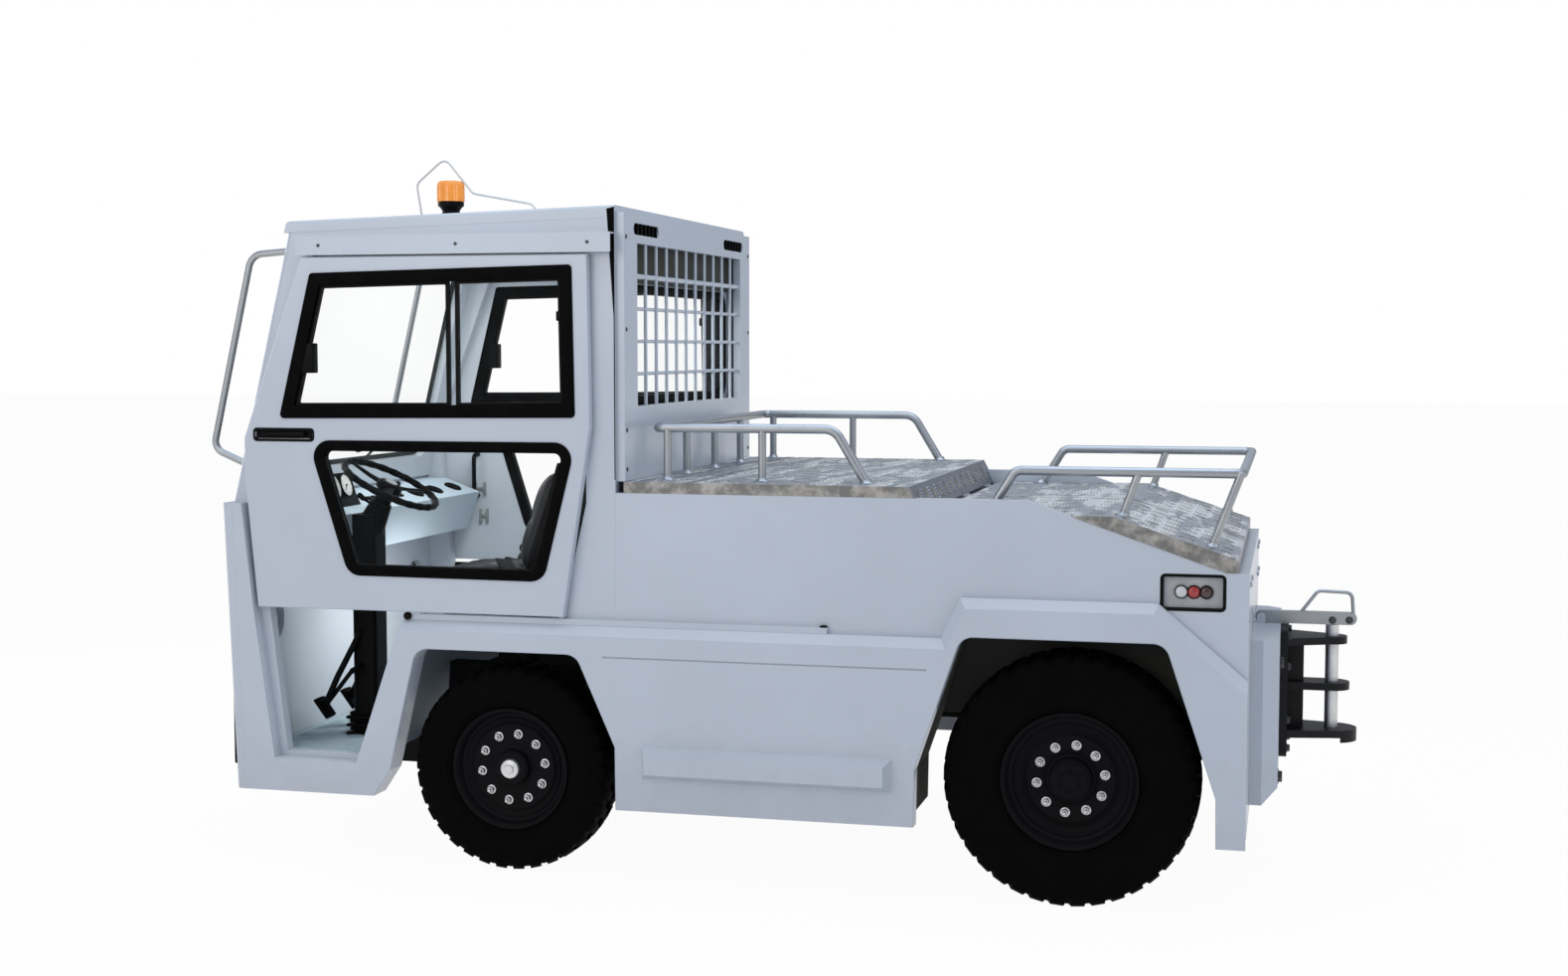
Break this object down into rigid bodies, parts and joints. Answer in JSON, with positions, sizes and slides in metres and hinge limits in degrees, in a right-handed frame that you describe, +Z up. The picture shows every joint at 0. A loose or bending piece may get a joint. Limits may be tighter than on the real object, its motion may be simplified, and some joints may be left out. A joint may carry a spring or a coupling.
{
  "type": "airport baggage tug",
  "caption": "Short tow tractor with a glazed cab, sliding side doors, railed tread-plate decks and a jaw hitch behind; wheels roll, fronts steer, rear hood lifts, tow pin rises.",
  "frame": {"origin": "on the ground, midway between the foremost and rearmost points, on the middle plane", "axes": "+X to the rear of the vehicle, +Y to its right, +Z up"},
  "size_m": [3.8569, 1.77, 2.432],
  "materials": {
    "white_paint": "white gloss paint",
    "black_paint": "satin black paint",
    "cast_black": "black painted castings",
    "bare_steel": "satin steel",
    "tread_plate": "bright chequer plate",
    "seal_rubber": "black rubber",
    "tyre_rubber": "black tyre rubber",
    "rim_paint": "black painted steel disc",
    "housing_paint": "dull olive undercoat",
    "window_glass": "clear safety glass",
    "lamp_plastic": "clear lamp lenses",
    "amber_plastic": "amber beacon lens",
    "cab_plastic": "dark grained plastic",
    "seat_vinyl": "dark vinyl"
  },
  "bodies": {
    "body": {"chassis_frame": "black_paint", "side_skirts": "white_paint", "nose_panel": "white_paint", "lamps": "lamp_plastic", "bumper_pad": "seal_rubber", "cab_floor": "black_paint", "cab_sides": "white_paint", "cab_front_frame": "white_paint", "cab_roof": "white_paint", "cab_rear_wall": "white_paint", "fixed_glass": "window_glass", "rear_guard": "white_paint", "body_sides": "white_paint", "rear_panel": "white_paint", "counterweight": "white_paint", "tow_hitch": "cast_black", "front_deck": "tread_plate", "front_deck_rail": "bare_steel", "door_rails": "white_paint", "grab_rails": "bare_steel", "beacon_base": "black_paint", "beacon_lens": "amber_plastic", "seats": "seat_vinyl", "dashboard": "cab_plastic", "steering_column": "cab_plastic", "engine_block": "cast_black", "front_axle": "cast_black", "rear_axle": "cast_black", "wheel_housings": "housing_paint"},
    "door_left": {"door_left": "white_paint", "door_frames_left": "seal_rubber", "door_glass_left": "window_glass"},
    "door_right": {"door_right": "white_paint", "door_frames_right": "seal_rubber", "door_glass_right": "window_glass"},
    "rear_hood": {"rear_hood": "tread_plate", "rear_hood_rail": "bare_steel"},
    "tow_pin": {"tow_pin": "bare_steel"},
    "pin_arm": {"pin_arm": "bare_steel"},
    "knuckle_left": {"knuckle_left": "cast_black"},
    "knuckle_right": {"knuckle_right": "cast_black"},
    "track_rod": {"track_rod": "cast_black"},
    "steering_wheel": {"steering_wheel": "cab_plastic"},
    "wheel_front_left": {"rim_front_left": "rim_paint", "tyre_front_left": "tyre_rubber"},
    "wheel_front_right": {"rim_front_right": "rim_paint", "tyre_front_right": "tyre_rubber"},
    "wheel_rear_left": {"rim_rear_left": "rim_paint", "tyre_rear_left": "tyre_rubber"},
    "wheel_rear_right": {"rim_rear_right": "rim_paint", "tyre_rear_right": "tyre_rubber"}
  },
  "joints": [
    {"name": "steer_left", "type": "hinge", "parent": "body", "child": "knuckle_left", "pos_m": [-0.79525, -0.6, 0.345], "axis": [0, 0, 1], "range_deg": [-28, 28]},
    {"name": "steer_right", "type": "hinge", "parent": "body", "child": "knuckle_right", "pos_m": [-0.79525, 0.6, 0.345], "axis": [0, 0, 1], "range_deg": [-28, 28]},
    {"name": "track_rod_shift", "type": "slide", "parent": "body", "child": "track_rod", "axis": [0, 1, 0], "range_m": [-0.07, 0.07]},
    {"name": "steering_wheel_turn", "type": "hinge", "parent": "body", "child": "steering_wheel", "pos_m": [-1.39925, -0.3997, 1.257], "axis": [0.456, 0, 0.89], "range_deg": [-395, 395]},
    {"name": "spin_front_left", "type": "hinge", "parent": "knuckle_left", "child": "wheel_front_left", "pos_m": [-0.79525, -0.717, 0.345], "axis": [0, 1, 0], "continuous": true},
    {"name": "spin_front_right", "type": "hinge", "parent": "knuckle_right", "child": "wheel_front_right", "pos_m": [-0.79525, 0.717, 0.345], "axis": [0, 1, 0], "continuous": true},
    {"name": "spin_rear_left", "type": "hinge", "parent": "body", "child": "wheel_rear_left", "pos_m": [1.05475, -0.7045, 0.4], "axis": [0, 1, 0], "continuous": true},
    {"name": "spin_rear_right", "type": "hinge", "parent": "body", "child": "wheel_rear_right", "pos_m": [1.05475, 0.7045, 0.4], "axis": [0, 1, 0], "continuous": true},
    {"name": "door_left_slide", "type": "slide", "parent": "body", "child": "door_left", "axis": [1, 0, 0], "range_m": [0, 0.85]},
    {"name": "door_right_slide", "type": "slide", "parent": "body", "child": "door_right", "axis": [1, 0, 0], "range_m": [0, 0.85]},
    {"name": "rear_hood_lift", "type": "hinge", "parent": "body", "child": "rear_hood", "pos_m": [0.59975, 0, 1.2215], "axis": [0, -1, 0], "range_deg": [0, 60]},
    {"name": "tow_pin_lift", "type": "slide", "parent": "body", "child": "tow_pin", "axis": [0, 0, 1], "range_m": [0, 0.13]},
    {"name": "pin_arm_lift", "type": "hinge", "parent": "body", "child": "pin_arm", "pos_m": [1.61475, 0, 0.8333], "axis": [0, -1, 0], "range_deg": [0, 40]}
  ],
  "couplings": [
    {"joint": "steer_right", "follows": "steer_left", "ratio": 1},
    {"joint": "track_rod_shift", "follows": "steer_left", "m_per_rad": 0.13},
    {"joint": "steering_wheel_turn", "follows": "steer_left", "ratio": 14},
    {"joint": "pin_arm_lift", "follows": "tow_pin_lift", "rad_per_m": 5.2}
  ]
}
